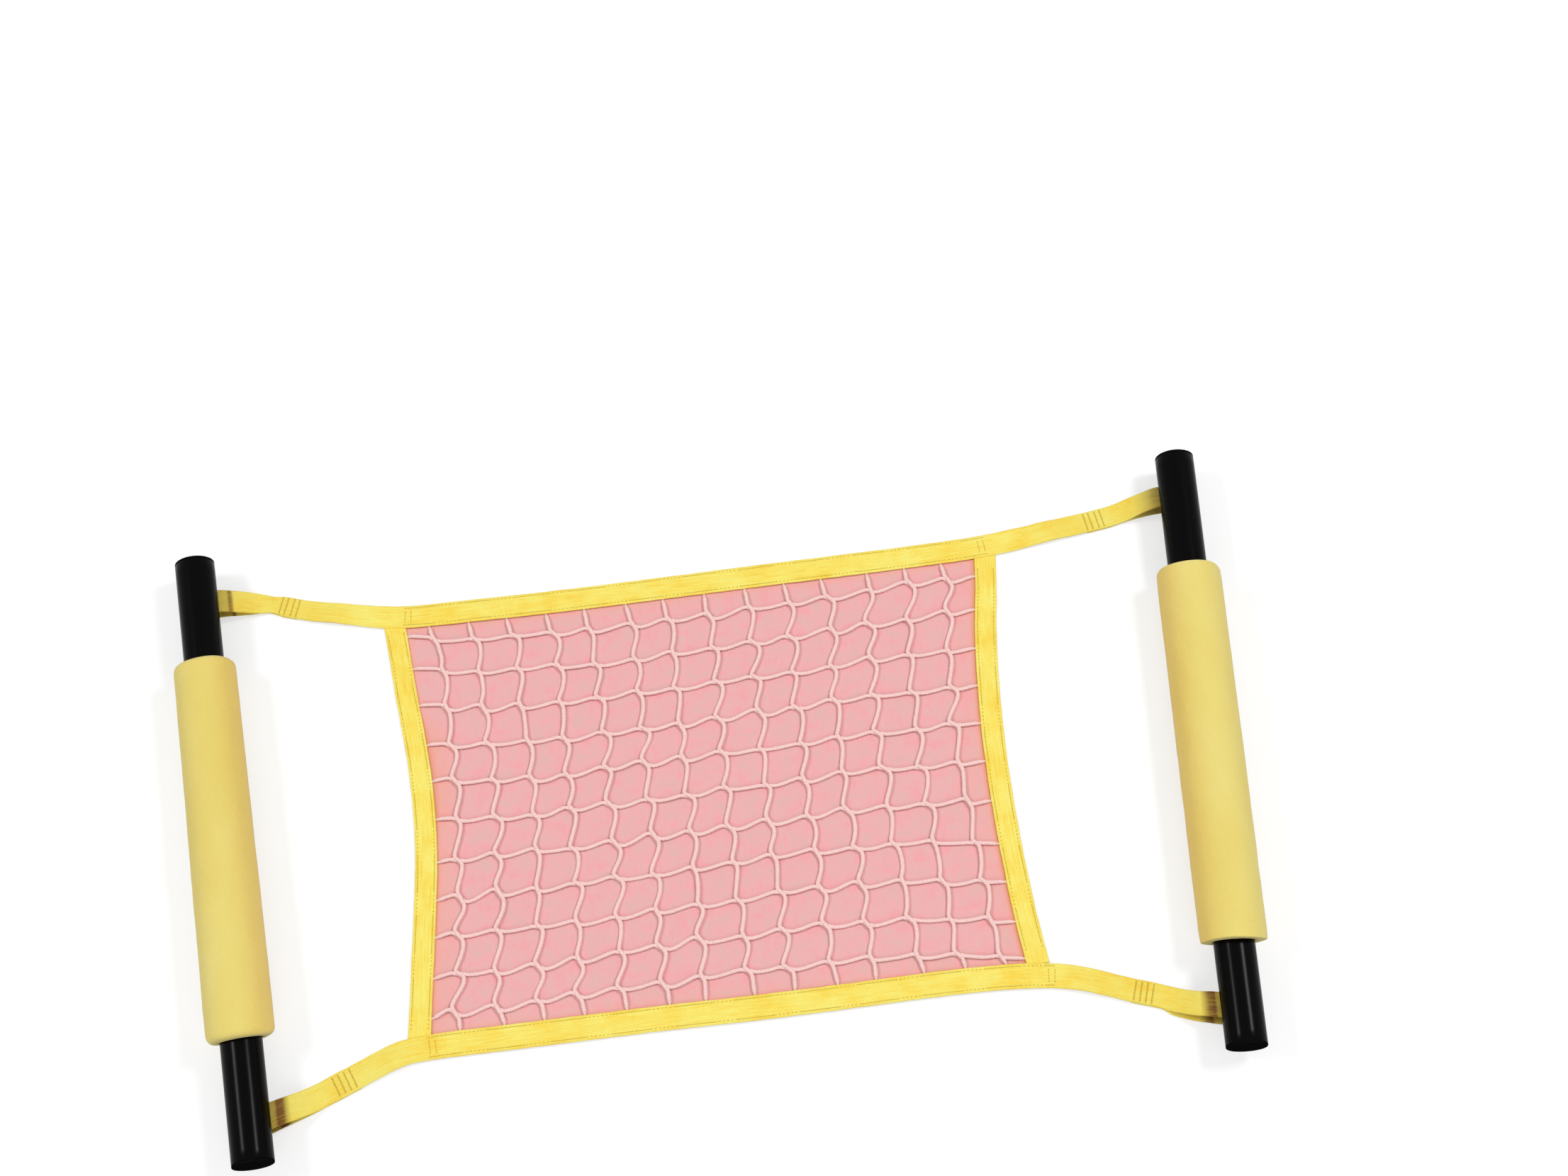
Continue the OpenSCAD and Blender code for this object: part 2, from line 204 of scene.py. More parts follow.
class Nodes:
    """Short calls that add nodes to one tree; a value is a number, a vector or another node's socket."""

    def __init__(self, tree):
        self.tree = tree
        tree.nodes.clear()

    def node(self, kind, sockets=(), **settings):
        n = self.tree.nodes.new("ShaderNode" + kind)
        for key, value in settings.items():
            setattr(n, key, value)
        for key, value in dict(sockets).items():
            self.put(n.inputs[key], value)
        return n

    def put(self, socket, value):
        if isinstance(value, bpy.types.NodeSocket):
            self.tree.links.new(value, socket)
        else:
            socket.default_value = value

    def math(self, operation, *values, clamp=False):
        return self.node("Math", enumerate(values), operation=operation, use_clamp=clamp).outputs[0]

    def over(self, a, b, share):
        """A share of how far a is over b; nothing where it is not."""
        return self.math("MULTIPLY", self.math("SUBTRACT", a, b, clamp=True), share)

    def wave(self, value, pitch):
        return self.math("SINE", self.math("MULTIPLY", value, 2 * math.pi / pitch))

    def seen(self):
        """1 for the rays that see an evenly white ground: camera, glossy and transmission rays."""
        rays = self.node("LightPath").outputs
        indirectly = self.math("MAXIMUM", rays["Is Glossy Ray"], rays["Is Transmission Ray"])
        return self.math("MAXIMUM", rays["Is Camera Ray"], indirectly)

    def scaled(self, vector, factors):
        return self.node("VectorMath", {0: vector, 1: factors}, operation="MULTIPLY").outputs[0]

    def split(self, vector):
        return self.node("SeparateXYZ", {0: vector}).outputs

    def noise(self, vector, scale, detail=2.0, roughness=0.5):
        sockets = {"Vector": vector, "Scale": scale, "Detail": detail, "Roughness": roughness}
        return self.node("TexNoise", sockets).outputs[0]

    def cells(self, vector, scale):
        return self.node("TexVoronoi", {"Vector": vector, "Scale": scale}).outputs["Distance"]

    def ramp(self, value, stops):
        n = self.node("ValToRGB", {0: value})
        elements = n.color_ramp.elements
        while len(elements) > 1:
            elements.remove(elements[-1])
        for i, (at, colour) in enumerate(stops):
            e = elements[0] if i == 0 else elements.new(at)
            e.position, e.color = at, rgba(colour)
        return n.outputs[0]

    def mix(self, factor, a, b):
        return self.node("Mix", {0: factor, 6: rgba(a), 7: rgba(b)}, data_type="RGBA").outputs[2]

    def coordinate(self, name):
        return self.node("TexCoord").outputs[name]

    # The mesh's own value of tint and wear, with painted shade and painted shadow in it.
    def tint_and_painted_shade(self):
        return self.node("Attribute", attribute_name="tint_and_painted_shade").outputs["Fac"]

    def bump(self, height, distance, strength, under=None):
        n = self.node("Bump", {"Height": height, "Distance": distance, "Strength": strength})
        if under is not None:
            self.put(n.inputs["Normal"], under)
        return n.outputs[0]


class Shader(Nodes):
    """A material with one principled surface."""

    def __init__(self, name):
        self.material = bpy.data.materials.new(name)
        self.material.use_nodes = True
        super().__init__(self.material.node_tree)
        self.surface = self.node("BsdfPrincipled")
        self.node("OutputMaterial", {"Surface": self.surface.outputs[0]})

    def finish(self, colour, roughness, normal=None, **sockets):
        sockets.update({"Base Color": rgba(colour), "Roughness": roughness})
        if normal is not None:
            sockets["Normal"] = normal
        for key, value in sockets.items():
            self.put(self.surface.inputs[key.replace("_", " ")], value)
        return self.material


def weave(s, uv, warp, weft):
    """Height of a plain weave; uv is in metres along and across it, warp and weft are the yarns' pitches."""
    u, v, _ = s.split(uv)
    column = s.math("DIVIDE", v, warp)
    row = s.math("DIVIDE", u, weft)
    parity = s.math("MULTIPLY", s.math("FLOOR", column), math.pi)
    over = s.math("SINE", s.math("ADD", s.math("MULTIPLY", row, math.pi), parity))
    across = s.math("ABSOLUTE", s.math("SINE", s.math("MULTIPLY", column, math.pi)))
    return s.math("MULTIPLY", across, s.math("MULTIPLY_ADD", over, 0.32, 0.68))


def webbing_material():
    """Yellow webbing, browner by the mesh's own value: wear all along, painted shade of the tubes beside
    them.
    """
    s = Shader("webbing")
    uv, place = s.coordinate("UV"), s.coordinate("Object")
    height = weave(s, uv, warp=0.0013, weft=0.0011)
    broad = s.noise(place, 30, 4, 0.65)
    streaks = s.noise(s.scaled(uv, (40, 700, 1)), 1.0, 2, 0.6)
    mottle = s.math("MULTIPLY_ADD", streaks, 0.4, s.math("MULTIPLY", broad, 0.6))
    colour = s.ramp(mottle, [(0.37, (0.95, 0.68, 0.07)), (0.5, (0.955, 0.80, 0.14)),
                             (0.62, (0.95, 0.87, 0.20))])
    colour = s.mix(s.over(0.6, streaks, 0.5), colour, (0.87, 0.58, 0.045))
    # Darker where the weave lies low: painted shade between the yarns.
    colour = s.mix(s.over(1.0, height, 0.2), colour, (0.74, 0.48, 0.03))
    # Wear browns the strap a little all along; beside the tubes the browner tone is painted shade for the
    # tubes' shadow.
    wear_and_painted_shade = s.math("MULTIPLY", s.tint_and_painted_shade(), s.math("MULTIPLY_ADD", streaks, 1.0, 0.5), clamp=True)
    colour = s.mix(wear_and_painted_shade, colour, (0.17, 0.065, 0.002))
    normal = s.bump(height, 0.00028, 0.7)
    normal = s.bump(streaks, 0.0003, 0.35, normal)
    return s.finish(colour, 0.62, normal, Sheen_Weight=0.15, Sheen_Roughness=0.4, Specular_IOR_Level=0.3)


def thread_material(name, colour, dark):
    s = Shader(name)
    u, v, _ = s.split(s.coordinate("UV"))
    turns = s.wave(s.math("ADD", u, s.math("MULTIPLY", v, 1.2)), pitch=0.0005)
    fuzz = s.noise(s.coordinate("Object"), 500, 2)
    mixed = s.mix(s.math("MULTIPLY_ADD", turns, 0.25, s.math("MULTIPLY", fuzz, 0.5)), colour, dark)
    return s.finish(mixed, 0.55, s.bump(turns, 0.0001, 0.8), Specular_IOR_Level=0.4)


def backing_material():
    """Pink cloth; more orange along the borders by the mesh's own value, and browner at their edges: painted
    shadow.
    """
    s = Shader("backing_fabric")
    uv, place = s.coordinate("UV"), s.coordinate("Object")
    height = weave(s, uv, warp=0.00062, weft=0.00062)
    patches = s.noise(s.scaled(place, (60, 85, 1)), 1.0, 4, 0.68)
    streaks = s.noise(s.scaled(place, (430, 55, 1)), 1.0, 3, 0.6)
    mottle = s.math("MULTIPLY_ADD", streaks, 0.35, s.math("MULTIPLY", patches, 0.65))
    colour = s.ramp(mottle, [(0.39, (0.90, 0.405, 0.42)), (0.5, (0.85, 0.46, 0.46)),
                             (0.61, (0.775, 0.48, 0.45))])
    tint_and_painted_shadow = s.tint_and_painted_shade()
    colour = s.mix(s.math("MULTIPLY", tint_and_painted_shadow, 1.1, clamp=True), colour, (0.90, 0.40, 0.27))
    # Browner where the narrow line lies: painted shadow of the borders on the cloth.
    colour = s.mix(s.math("SUBTRACT", tint_and_painted_shadow, 0.5, clamp=True), colour, (0.62, 0.26, 0.11))
    # Darker where the weave lies low: painted shade between the yarns.
    colour = s.mix(s.over(1.0, height, 0.3), colour, (0.70, 0.29, 0.31))
    normal = s.bump(height, 0.00012, 0.6)
    normal = s.bump(s.noise(place, 60, 3, 0.6), 0.0015, 0.35, normal)
    return s.finish(colour, 0.85, normal, Sheen_Weight=0.2, Sheen_Roughness=0.5, Specular_IOR_Level=0.2)


def cord_material():
    s = Shader("net_cord")
    uv = s.coordinate("UV")
    u, v, _ = s.split(uv)
    plait = s.wave(s.math("ADD", u, s.math("ABSOLUTE", s.math("MULTIPLY", v, 0.9))), pitch=0.0021)
    fibre = s.noise(s.scaled(uv, (350, 2600, 1)), 1.0, 3, 0.6)
    shade = s.math("MULTIPLY_ADD", plait, 0.09, s.math("MULTIPLY", fibre, 0.3))
    colour = s.mix(shade, (0.99, 0.69, 0.66), (0.97, 0.52, 0.495))
    normal = s.bump(plait, 0.0003, 0.6)
    normal = s.bump(fibre, 0.00015, 0.5, normal)
    return s.finish(colour, 0.7, normal, Sheen_Weight=0.2, Sheen_Roughness=0.4, Specular_IOR_Level=0.25)


def foam_material(name, inward):
    """Fine-celled foam with painted shade: warmer and a little darker on the side that faces the net, whose
    sign in x is inward.
    """
    s = Shader(name)
    place = s.coordinate("Object")
    cells = s.cells(place, 900)
    crumbs = s.noise(place, 420, 3, 0.65)
    broad = s.noise(s.scaled(place, (16, 7, 16)), 1.0, 3, 0.6)
    colour = s.ramp(broad, [(0.3, (0.775, 0.615, 0.145)), (0.52, (0.80, 0.66, 0.18)),
                            (0.75, (0.825, 0.69, 0.225))])
    # The side that faces the net gets a warmer, darker colour: painted shade for how the lamps light the
    # grip.
    net_side_painted_shade = s.math("MULTIPLY", s.math("SUBTRACT", s.split(s.coordinate("Normal"))[0], 0.25 * inward), inward)
    colour = s.mix(s.math("MULTIPLY", net_side_painted_shade, 0.58, clamp=True), colour, (0.93, 0.57, 0.10))
    # Darker in the cells' pits: painted shade in the pores.
    colour = s.mix(s.over(0.42, cells, 0.5), colour, (0.66, 0.50, 0.10))
    normal = s.bump(cells, 0.0004, 0.45)
    normal = s.bump(crumbs, 0.0004, 0.35, normal)
    normal = s.bump(s.noise(place, 55, 2), 0.002, 0.12, normal)
    return s.finish(colour, 0.93, normal, Sheen_Weight=0.25, Sheen_Roughness=0.6, Specular_IOR_Level=0.15)


def plastic_material(name, colour, roughness, grain, gloss):
    s = Shader(name)
    place = s.coordinate("Object")
    scuffs = s.noise(s.scaled(place, (260, 14, 260)), 1.0, 4, 0.7)
    specks = s.noise(place, grain, 2)
    rough = s.math("MULTIPLY_ADD", scuffs, 0.12, roughness - 0.06)
    shade = s.mix(s.over(scuffs, 0.62, 0.8), colour, (0.008, 0.008, 0.0085))
    normal = s.bump(specks, 0.00006, 0.25)
    return s.finish(shade, rough, normal, Specular_IOR_Level=gloss)


WEBBING = webbing_material()
THREAD = thread_material("seam_thread", (0.93, 0.75, 0.12), (0.80, 0.55, 0.05))
TACK_THREAD = thread_material("tack_thread", (0.91, 0.71, 0.11), (0.79, 0.56, 0.065))
BACKING = backing_material()
CORD = cord_material()
TUBE = plastic_material("tube_plastic", (0.0009, 0.0008, 0.0009), 0.2, 1800, 0.045)
PLUG = plastic_material("plug_plastic", (0.005, 0.0048, 0.005), 0.7, 1200, 0.0)

# ---- Where the poles and their slots are ----

POLE_DISTANCE = 393.0  # from the net's middle to each pole's middle
LEAN = math.radians(4.3)  # by which the poles' upper ends lean outward
GRIP_RADIUS = AXIS_HEIGHT = 25.5  # the grips lie on the ground
TUBE_RADIUS, BORE_RADIUS = 16.0, 13.5
TUBE_END = 248.0  # from the pole's middle; the plugs' rims follow
SLOT_DISTANCE = 213.0  # from the pole's middle to each slot's middle
SLOT_LENGTH, SLOT_OPENING = 28.86, 5.0
UPPER_DROP, LOWER_DROP = 12.0, 76.0  # the slots' angles below the level, on the net's side


class Pole:
    """A pole's place and its directions in plan."""

    def __init__(self, side):
        self.side = side
        self.name = "left" if side < 0 else "right"
        self.middle = np.array([POLE_DISTANCE * side, 0.0])
        self.along = np.array([side * math.sin(LEAN), math.cos(LEAN)])
        self.inward = np.array([-side * math.cos(LEAN), math.sin(LEAN)])

    def at(self, along, inward):
        return self.middle + self.along * along + self.inward * inward

    def place(self, points):
        """Sets points, given as inward, along and up from the pole's middle, into the part's frame."""
        flat = self.middle + points[:, :1] * self.inward + points[:, 1:2] * self.along
        return lifted(flat, points[:, 2] + AXIS_HEIGHT)


POLES = {-1: Pole(-1), 1: Pole(1)}

# ---- Webbing ----

HALF_WEBBING, WEBBING_THICKNESS, BORDER_WIDTH = 9.5, 1.7, 19.8
BORDER_MIDDLE, SIDE_MIDDLE = 2.45, 1.55  # heights of the middles of the long and of the side borders
STRAP_MIDDLE, LOW_MIDDLE = 2.5, 0.85  # heights of a strap's middle and of a loop's layer on the ground
CROSSING = 9.76  # from the tube's axis to where the slots' middle lines cross
LOOP_REACH = 62.0  # from the tube's axis to the loop's end and its hinge
LOOP_START = LOOP_REACH + 22  # from the tube's axis to the first ring of loop_profile()
STRAP_ROOT = 246  # from the net's middle to where the straps part from the borders
WEAR = 0.055  # how brown the straps are all along
STEP = 1.6  # between the rings of a band
SEAM_PITCH, SEAM_STITCH, SEAM_RADIUS = 3.1, 2.5, 0.3
TACK_DISTANCE, TACK_PITCH, TACK_RADIUS = 63.0, 4.6, 0.5

# The two long webbing runs, from slot to slot, in millimetres. left, border and right are their plan from the
# left pole to the right one. slot is the slots' place along the tubes, slip the webbing's distance from the
# slot's middle, aim its angle there in degrees from square to the tube, fold the place of the straps' hinges
# in y. The rest goes by distance from the tube's axis: the first list is how much browner the webbing is
# painted there, painted shade for the tube's shadow on it; width is how wide, and under how far a loop's
# lower layer lies to the side.
RUNS = {
    "top": {
        "slot": SLOT_DISTANCE, "slip": {"left": 1.7, "right": 3.0}, "aim": {"left": 0.0, "right": 0.0},
        "fold": 190.0, "seed": 3,
        "tint_and_painted_shade": {"left": [(16, 0.35), (22, 0.35), (23.4, 0.8), (25, 0.7), (26.8, 0)],
                "right": [(16, 0.65), (21, 0.55), (27, 0.3), (36, 0)]},
        "width": {"left": [(20, 19.6), (38, 19.6), (57, 14.8), (68, 17.6), (90, 17.8)],
                  "right": [(20, 18.6), (90, 18.2)]},
        "left": [(-385, 215.9), (-372, 216.7), (-360, 216.0), (-349, 213.8), (-336, 209.6), (-320, 205.0),
                 (-300, 200.4), (-280, 196.2), (-262, 192.6)],
        "border": [(-240, 190.2), (-180, 189.6), (-125, 189.5), (-60, 190.4), (0, 191.6), (60, 192.8),
                   (120, 193.7), (180, 194.9), (225, 196.2)],
        "right": [(252, 198.2), (275, 201.0), (300, 204.4), (325, 207.7), (350, 211.4), (364, 214.2),
                  (376, 216.0)],
        "under": {"left": [(20, 2.6), (45, 1.2), (62, 0)], "right": [(20, 1.6), (45, 0.8), (62, 0)]},
    },
    "bottom": {
        "slot": -SLOT_DISTANCE, "slip": {"left": -3.4, "right": -3.6}, "aim": {"left": 18.0, "right": 12.0},
        "fold": -170.0, "seed": 8,
        "tint_and_painted_shade": {"left": [(16, 0.55), (18.5, 0.65), (20, 1.0), (24, 0.9), (26, 0.45), (29, 0)],
                "right": [(16, 0.5), (17.6, 0.6), (19, 0.95), (23, 0.8), (29, 0)]},
        "width": {"left": [(20, 19.4), (50, 19.8), (90, 19.6)], "right": [(20, 19.2), (90, 18.6)]},
        "left": [(-338, -203.1), (-320, -195.4), (-300, -187.2), (-284, -180.6), (-270, -175.4),
                 (-259, -172.6)],
        "border": [(-240, -170.9), (-180, -170.4), (-125, -170.0), (-60, -169.6), (0, -170.0), (60, -169.6),
                   (110, -168.8), (160, -168.2), (205, -169.0), (226, -170.4)],
        "right": [(246, -173.0), (262, -177.0), (282, -183.9), (300, -190.6), (320, -197.4), (334, -203.4),
                  (345, -208.2)],
        "under": {"left": [(20, 1.4), (45, 0.4), (62, 0)], "right": [(20, -1.2), (45, -2.2), (53, 0)]},
    },
}
# The side borders' plans, from their upper ends to their lower ones.
SIDE_LINES = {
    -1: [(-253.0, 186), (-250.7, 165), (-246.0, 120), (-241.4, 82), (-238.0, 45), (-236.8, 10), (-237.6, -25),
         (-240.8, -65), (-244.6, -105), (-248.9, -150), (-250.2, -166)],
    1: [(243.0, 190), (240.2, 165), (233.2, 120), (228.9, 80), (226.0, 40), (224.6, 0), (224.6, -40),
        (225.6, -80), (227.6, -120), (230.4, -152), (231.4, -162)],
}
SIDE_WIDTHS = {-1: 17.6, 1: 18.0}


def band_section():
    """A band's outline: flat faces, round edges, and on top a bead and a groove along each edge."""
    t = WEBBING_THICKNESS / 2
    w = HALF_WEBBING - t
    u = np.linspace(w, -w, 14)
    beyond = np.abs(u) - w
    bead = 0.1 * np.exp(-(beyond / 0.9) ** 2) - 0.1 * np.exp(-((beyond + 2.2) / 0.7) ** 2)
    angles = np.radians([125, 155, 180, 205, 235])
    top = [(x, t + b) for x, b in zip(u, bead)]
    turn = [(-w + t * math.cos(a), t * math.sin(a)) for a in angles]
    low = [(-x, -t) for x in u]
    turn_back = [(w - t * math.cos(a), -t * math.sin(a)) for a in angles]
    return np.array(top + turn + low + turn_back)


SECTION = band_section()


class Band:
    """Rings of a webbing band along a path; pieces are cut from it between two rings."""

    def __init__(self, centres, sides, width, seed, tint_and_painted_shade=0.0):
        """width and the tint with its painted shade are one number or one for each ring; a ring askew to the
        path keeps the width.
        """
        self.centres, self.sides = centres, unit(sides)
        self.run = arc_length(centres)
        self.tint_and_painted_shade = np.broadcast_to(tint_and_painted_shade, len(centres))
        square = np.cross(unit(np.gradient(centres, axis=0)), self.sides)
        self.normals = unit(square)
        edge = 0.22 * wobble(np.outer(self.run, (1, 0, 0)), 9.0, seed + 3.1)
        askew = np.maximum(np.linalg.norm(square, axis=1), 0.9)
        across = SECTION[:, 0] * ((width / 2 + edge) / HALF_WEBBING / askew)[:, None]
        self.points = (centres[:, None] + across[:, :, None] * self.sides[:, None]
                       + SECTION[:, 1:] * self.normals[:, None])
        self.uvs = np.stack([np.broadcast_to(self.run[:, None], across.shape), across], 2)

    def piece(self, name, first, last, ends=False):
        rings = slice(first, last + 1)
        verts, uvs = self.points[rings].reshape(-1, 3), self.uvs[rings].reshape(-1, 2)
        tint_and_painted_shade = np.repeat(self.tint_and_painted_shade[rings], len(SECTION))
        obj = make_mesh(name, verts, skin(last + 1 - first, len(SECTION), ends), uvs, tint_and_painted_shade=tint_and_painted_shade)
        obj.data.materials.append(WEBBING)
        return obj

    def surface(self, i, across, above=0.0):
        """A point on the band's top face at a ring, at a distance across."""
        return self.centres[i] + self.sides[i] * across + self.normals[i] * (SECTION[0, 1] + above)


def stitch(parts, start, end, up, radius):
    """A stitch between two points of a surface: a short arched bead whose ends dive into the cloth."""
    along = end - start
    length = np.linalg.norm(along)
    along = along / length
    side = np.cross(up, along)
    ts = np.array([-1.0, -0.8, -0.4, 0.0, 0.4, 0.8, 1.0])
    fat = np.array([0.35, 0.8, 1.0, 1.0, 1.0, 0.8, 0.35])
    rise = np.array([-1.1, -0.35, 0.05, 0.15, 0.05, -0.35, -1.1]) + 0.39
    centres = (start + end) / 2 + np.outer(ts * length / 2, along) + np.outer(rise * radius, up)
    angles = np.radians(np.arange(6) * 60)
    ring = np.cos(angles)[:, None] * side + 0.85 * np.sin(angles)[:, None] * up
    verts = (centres[:, None, :] + ring[None] * (fat * radius)[:, None, None]).reshape(-1, 3)
    uvs = np.array([[t * length / 2, a * radius] for t in ts for a in angles])
    parts.add(verts, skin(len(ts), len(angles), True), uvs)


def sew_across(parts, band, ring, count, first, pitch, length, radius, above=0.0):
    """A row of stitches across a band at one of its rings."""
    for k in range(count):
        ends = [band.surface(ring, first + k * pitch + more, above) for more in (0, length)]
        stitch(parts, *ends, band.normals[ring], radius)


def sew_along(parts, band, across, starts, last):
    """A row of seam stitches along a band, beginning at those distances, as far as the last ring."""
    for start in starts:
        lo, hi = np.searchsorted(band.run, [start, start + SEAM_STITCH])
        ends = band.surface(lo, across), band.surface(min(hi, last), across)
        stitch(parts, *ends, band.normals[lo], SEAM_RADIUS)


def loop_profile():
    """The loop's middle line seen along the tube: in at the upper slot, out at the lower one and back."""
    def arc(centre, r, a0, a1, n):
        return np.array([centre + r * heading(a) for a in np.linspace(a0, a1, n)])

    reach, spread, bend = LOOP_REACH, 46.0, 1.1
    off = SLOT_OPENING / 2 - bend
    half = math.degrees(math.asin(SLOT_OPENING / 2 / BORE_RADIUS))
    strip = (-UPPER_DROP - half, -LOWER_DROP + half)
    high, low = STRAP_MIDDLE - AXIS_HEIGHT, LOW_MIDDLE - AXIS_HEIGHT
    foot = np.array([reach - 0.2 * spread, high])
    low_foot = np.array([reach - 0.3 * spread, low])
    mouth = (TUBE_RADIUS + bend) * heading(-UPPER_DROP) - off * heading(90 - UPPER_DROP)
    low_mouth = (TUBE_RADIUS + bend) * heading(-LOWER_DROP) + off * heading(90 - LOWER_DROP)
    upper = np.vstack([
        [[LOOP_START, high]], [[reach + 8, high]],
        bezier(foot, foot - [0.26 * spread, 0], mouth + 0.15 * spread * heading(-UPPER_DROP), mouth,
               np.linspace(0, 1, 24)),
        arc(BORE_RADIUS * heading(strip[0]), bend, 90 - UPPER_DROP, 180 + strip[0], 7),
        arc(np.zeros(2), BORE_RADIUS - bend, strip[0] - 3, strip[1] + 3, 6)])
    back = np.vstack([
        arc(BORE_RADIUS * heading(strip[1]), bend, 180 + strip[1], 270 - LOWER_DROP, 7),
        bezier(low_mouth, low_mouth + 0.85 * (low_mouth[1] - low) * heading(-LOWER_DROP),
               low_foot - [0.35 * spread, 0], low_foot, np.linspace(0, 1, 20)),
        [[reach + 17, low]]])
    return np.vstack([upper, back])


def corner(run, pole):
    """Plan points where the strap crosses the tube, from its far side to just beyond its near side."""
    turn = math.radians(-pole.side * run["aim"][pole.name])
    x, y = pole.inward
    ahead = np.array([x * math.cos(turn) - y * math.sin(turn), x * math.sin(turn) + y * math.cos(turn)])
    base = pole.at(run["slot"] + run["slip"][pole.name], CROSSING)
    return [base + ahead * t for t in (-34, -22, -10, 0, 7)]


def build_run(run):
    """The band of a long border with its straps and loops, and how many rings belong to each loop."""
    left, right = POLES[-1], POLES[1]
    plan = corner(run, left) + run["left"] + run["border"] + run["right"] + corner(run, right)[::-1]
    plan = spline(plan, 1.0)
    s = arc_length(plan)
    tangent = softened(unit(np.gradient(plan, axis=0)), 6)
    axes = {pole: s[np.argmin(np.abs((plan - pole.middle) @ pole.inward))] for pole in (left, right)}
    askew = {pole: math.cos(math.radians(run["aim"][pole.name])) for pole in (left, right)}

    def sideways(where):
        t = unit(interpolated(where, s, tangent))
        return np.column_stack([-t[:, 1], t[:, 0]])

    def loop(pole):
        """Rings of a pole's loop: loop_profile() laid along the plan from where that crosses the tube."""
        path = softened(evenly(loop_profile(), 0.9), 3)
        reach = path[:, 0]

        def along_loop(key):
            return np.interp(reach, *zip(*run[key][pole.name]))

        where = axes[pole] - pole.side * reach * (1 / askew[pole])
        near = (1 - smoothstep(reach, 22, 50))[:, None]
        across = unit(near * pole.along + (1 - near) * sideways(where))
        under = np.arange(len(path)) > np.argmin(reach)
        slide = softened((under * along_loop("under"))[:, None], 4)
        flat = interpolated(where, s, plan) + across * slide
        centres = lifted(flat, path[:, 1] + AXIS_HEIGHT)
        # Wear all along, and painted shade for the tube's shadow near the tube.
        return centres, lifted(across), WEAR + along_loop("tint_and_painted_shade"), along_loop("width")

    left_loop, right_loop = loop(left), loop(right)
    first, last = axes[left] + LOOP_START / askew[left], axes[right] - LOOP_START / askew[right]
    where = np.linspace(first, last, int((last - first) / STEP) + 1)[1:-1]
    flat = interpolated(where, s, plan)
    from_loop = np.minimum(where - first, last - where)
    height = STRAP_MIDDLE + (BORDER_MIDDLE - STRAP_MIDDLE) * smoothstep(from_loop, 0, 60)
    height += 1.3 * np.exp(-((from_loop - 28) / 14.0) ** 2)  # each strap arches a little near its corner
    height += 0.22 * wobble(lifted(flat), 30.0, 5.0)
    ease = smoothstep(from_loop, 10, 75)
    width = np.where(flat[:, 0] < 0, left_loop[3][0], right_loop[3][0]) * (1 - ease) + BORDER_WIDTH * ease
    middle = lifted(flat, height), lifted(sideways(where)), WEAR * (1 - ease), width
    rows = zip(left_loop, middle, right_loop)
    centres, sides, tint_and_painted_shade, width = (np.concatenate([start[::-1], run_on, end]) for start, run_on, end in rows)
    return Band(centres, sides, width, run["seed"], tint_and_painted_shade), len(left_loop[0]), len(right_loop[0])


def net_fold_rings(name):
    """The rings nearest to where the straps part from a long border, at the panel's corners."""
    band, n_left, n_right = BANDS[name]
    middle = np.arange(n_left, len(band.centres) - n_right)
    x = band.centres[middle, 0]
    return middle[np.argmin(np.abs(x + STRAP_ROOT))], middle[np.argmin(np.abs(x - STRAP_ROOT))]


def make_tacks(name, pole, band, rings):
    """Four rows of stitches across a strap, just beyond its loop, each at one of the rings."""
    tack = Parts()
    reach = np.abs((band.centres[rings, :2] - pole.middle) @ pole.inward)
    for row in range(4):
        i = rings[np.argmin(np.abs(reach - (TACK_DISTANCE + TACK_PITCH * row)))]
        sew_across(tack, band, i, 9, -8.0, 1.8, 1.65, TACK_RADIUS, 0.05)
    threads = tack.make(f"{pole.name}_{name}_tack_threads")
    threads.data.materials.append(TACK_THREAD)
    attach(threads, f"{pole.name}_straps")
    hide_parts(f"{pole.name}_{name}_bar_tack")


def make_run(name, run):
    """A long border with its straps, loops and stitches."""
    band, n_left, n_right = BANDS[name]
    total = len(band.centres)
    near, far = net_fold_rings(name)
    border = band.piece(f"{name}_border_webbing", near, far)
    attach(border, "net")
    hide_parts(f"{name}_border")
    left_end, right_end = n_left - 1, total - n_right
    for side, strap_ends, loop_ends, upper in (
            (-1, (left_end, near), (0, left_end), np.arange(n_left // 2, near)),
            (1, (far, right_end), (right_end, total - 1), np.arange(far, right_end + n_right // 2))):
        pole = POLES[side]
        strap = band.piece(f"{pole.name}_{name}_strap_webbing", *strap_ends)
        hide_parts(f"{pole.name}_{name}_strap")
        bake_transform(strap)
        loop = band.piece(f"{pole.name}_{name}_loop_webbing", *loop_ends)
        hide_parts(f"{pole.name}_{name}_loop")
        start = np.append(pole.at(run["slot"], LOOP_REACH), 0) * MM
        end = np.append(pole.at(run["slot"], LOOP_REACH - 14), 0) * MM
        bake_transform(loop)
        make_tacks(name, pole, band, upper)

    # Rows of stitches along both edges of the border, and two short rows across it at each corner.
    begin, length = band.run[near], band.run[far] - band.run[near]
    starts = [begin + 1.5 + k * SEAM_PITCH for k in range(int(length / SEAM_PITCH) - 1)]
    for across in (-7.6, 7.6):
        sew_along(stitches, band, across, starts, far)
    for i in (near + 2, near + 5, far - 2, far - 5):
        sew_across(seam_threads, band, i, 5, -5.4, 2.2, 1.8, SEAM_RADIUS)


